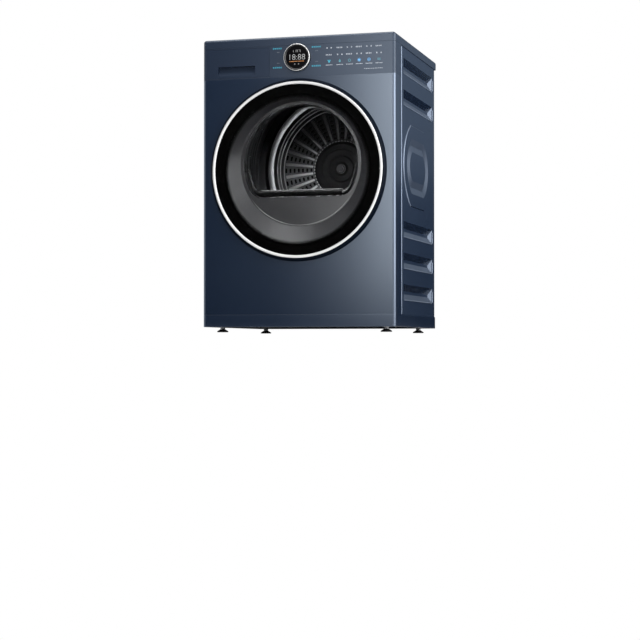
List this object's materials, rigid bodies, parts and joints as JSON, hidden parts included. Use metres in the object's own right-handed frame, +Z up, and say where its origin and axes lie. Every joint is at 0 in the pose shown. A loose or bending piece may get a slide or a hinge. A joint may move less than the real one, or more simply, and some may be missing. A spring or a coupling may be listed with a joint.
{
  "type": "tumble dryer",
  "caption": "Front-loading tumble dryer with a round glass door, turning drum, control fascia with a dial display, water drawer, ribbed steel side panels and levelling feet.",
  "frame": {"origin": "on the floor, under the centre of the overall box", "axes": "+Z up, -Y out of the front (the door side), +X to the right seen from the front"},
  "size_m": [0.595, 0.594, 0.88],
  "materials": {
    "painted_front": "satin metallic grey",
    "painted_fascia": "satin metallic grey",
    "painted_worktop": "satin metallic grey",
    "plinth_plastic": "satin metallic grey",
    "base_plastic": "moulded, dark",
    "foot_rubber": "matte",
    "door_chrome": "bright satin",
    "door_plastic": "dark, polished",
    "door_black_glass": "black printed border round a clear window",
    "clear_glass": "clear",
    "display_black": "piano black",
    "board_green": "solder-masked board",
    "moulded_front": "moulded, dark grey",
    "motor_casing": "cast end shields round a wound core",
    "zinc_steel": "zinc plated",
    "duct_steel": "galvanised sheet",
    "drum_steel": "stainless",
    "hub_plastic": "dark grey",
    "shaft_steel": "ground",
    "bearing_iron": "painted",
    "grey_plastic": "moulded",
    "tank_plastic": "milky",
    "black_rubber": "matte",
    "felt": "pressed felt",
    "exchanger_aluminium": "bare fins",
    "compressor_paint": "black enamel",
    "copper": "copper tube"
  },
  "bodies": {
    "cabinet": {"front_panel": "painted_front", "side_panel_left": "painted_front", "side_panel_right": "painted_front", "control_fascia": "painted_fascia", "worktop": "painted_worktop", "base_plinth": "plinth_plastic", "base_tray": "base_plastic", "process_duct_cover": "base_plastic", "condensate_pump": "base_plastic", "display_lens": "display_black", "control_board": "board_green", "front_bulkhead": "moulded_front", "motor": "motor_casing", "rear_bulkhead": "zinc_steel", "hinge_bracket": "zinc_steel", "panel_screws": "zinc_steel", "roller_axles": "zinc_steel", "tension_spring": "zinc_steel", "rear_duct_cover": "duct_steel", "drum_bearing": "bearing_iron", "tank_guide": "grey_plastic", "lint_filter": "grey_plastic", "latch_housing": "grey_plastic", "power_inlet": "grey_plastic", "door_seal": "black_rubber", "drive_belt": "black_rubber", "compressor_grommets": "black_rubber", "front_felt": "felt", "rear_felt": "felt", "heat_exchangers": "exchanger_aluminium", "compressor": "compressor_paint", "refrigerant_pipes": "copper"},
    "door": {"door_outer_frame": "door_plastic", "door_trim_ring": "door_chrome", "door_glass": "door_black_glass", "door_inner_frame": "door_plastic", "door_window_bowl": "clear_glass", "hinge_arm": "zinc_steel", "latch_hook": "zinc_steel", "door_screws": "zinc_steel"},
    "drum": {"drum_shell": "drum_steel", "drum_rear_wall": "drum_steel", "drum_hub_cover": "hub_plastic", "drum_shaft": "shaft_steel", "drum_lifters": "hub_plastic"},
    "rotor": {"motor_rotor": "shaft_steel", "fan_impeller": "grey_plastic"},
    "roller_l": {"roller_left": "black_rubber"},
    "roller_r": {"roller_right": "black_rubber"},
    "tension_lever": {"tension_arm": "zinc_steel"},
    "idler": {"idler_pulley": "grey_plastic"},
    "knob": {"knob_ring": "door_chrome"},
    "tank_drawer": {"water_tank": "tank_plastic", "drawer_front": "painted_fascia"},
    "plunger": {"switch_plunger": "grey_plastic"},
    "claw": {"latch_claw": "zinc_steel"},
    "foot_fl": {"foot_front_left": "foot_rubber"},
    "foot_fr": {"foot_front_right": "foot_rubber"},
    "foot_bl": {"foot_back_left": "foot_rubber"},
    "foot_br": {"foot_back_right": "foot_rubber"}
  },
  "joints": [
    {"name": "door_hinge", "type": "hinge", "parent": "cabinet", "child": "door", "pos_m": [-0.267, -0.288, 0.481], "axis": [0, 0, -1], "range_deg": [0, 130]},
    {"name": "drum_spin", "type": "hinge", "parent": "cabinet", "child": "drum", "pos_m": [0, 0, 0.534], "axis": [0, 1, 0], "continuous": true},
    {"name": "motor_spin", "type": "hinge", "parent": "cabinet", "child": "rotor", "pos_m": [0.06, 0, 0.128], "axis": [0, 1, 0], "continuous": true},
    {"name": "roller_left_spin", "type": "hinge", "parent": "cabinet", "child": "roller_l", "pos_m": [-0.17227, 0, 0.26873], "axis": [0, 1, 0], "continuous": true},
    {"name": "roller_right_spin", "type": "hinge", "parent": "cabinet", "child": "roller_r", "pos_m": [0.17227, 0, 0.26873], "axis": [0, 1, 0], "continuous": true},
    {"name": "tension_arm_pivot", "type": "hinge", "parent": "cabinet", "child": "tension_lever", "pos_m": [0.1, 0, 0.105], "axis": [0, 1, 0], "range_deg": [0, 12], "stiffness_Nm_per_rad": 2, "springref_deg": -17.19},
    {"name": "idler_spin", "type": "hinge", "parent": "tension_lever", "child": "idler", "pos_m": [0.13704, 0, 0.18739], "axis": [0, 1, 0], "continuous": true},
    {"name": "knob_turn", "type": "hinge", "parent": "cabinet", "child": "knob", "pos_m": [0, 0, 0.815], "axis": [0, -1, 0], "continuous": true},
    {"name": "tank_slide", "type": "slide", "parent": "cabinet", "child": "tank_drawer", "axis": [0, -1, 0], "range_m": [0, 0.36]},
    {"name": "switch_travel", "type": "slide", "parent": "cabinet", "child": "plunger", "axis": [0, 1, 0], "range_m": [0, 0.003], "stiffness_N_per_m": 150},
    {"name": "latch_claw_pivot", "type": "hinge", "parent": "cabinet", "child": "claw", "pos_m": [0.2685, -0.254, 0.481], "axis": [0, 0, -1], "range_deg": [0, 4], "stiffness_Nm_per_rad": 0.5, "springref_deg": -2.86},
    {"name": "foot_front_left_screw", "type": "slide", "parent": "cabinet", "child": "foot_fl", "axis": [0, 0, -1], "range_m": [0, 0.012]},
    {"name": "foot_front_right_screw", "type": "slide", "parent": "cabinet", "child": "foot_fr", "axis": [0, 0, -1], "range_m": [0, 0.012]},
    {"name": "foot_back_left_screw", "type": "slide", "parent": "cabinet", "child": "foot_bl", "axis": [0, 0, -1], "range_m": [0, 0.012]},
    {"name": "foot_back_right_screw", "type": "slide", "parent": "cabinet", "child": "foot_br", "axis": [0, 0, -1], "range_m": [0, 0.012]}
  ],
  "couplings": [
    {"joint": "motor_spin", "follows": "drum_spin", "ratio": 19.958},
    {"joint": "roller_left_spin", "follows": "drum_spin", "ratio": -9.4909},
    {"joint": "roller_right_spin", "follows": "drum_spin", "ratio": -9.4909},
    {"joint": "idler_spin", "follows": "drum_spin", "ratio": -16.517}
  ]
}
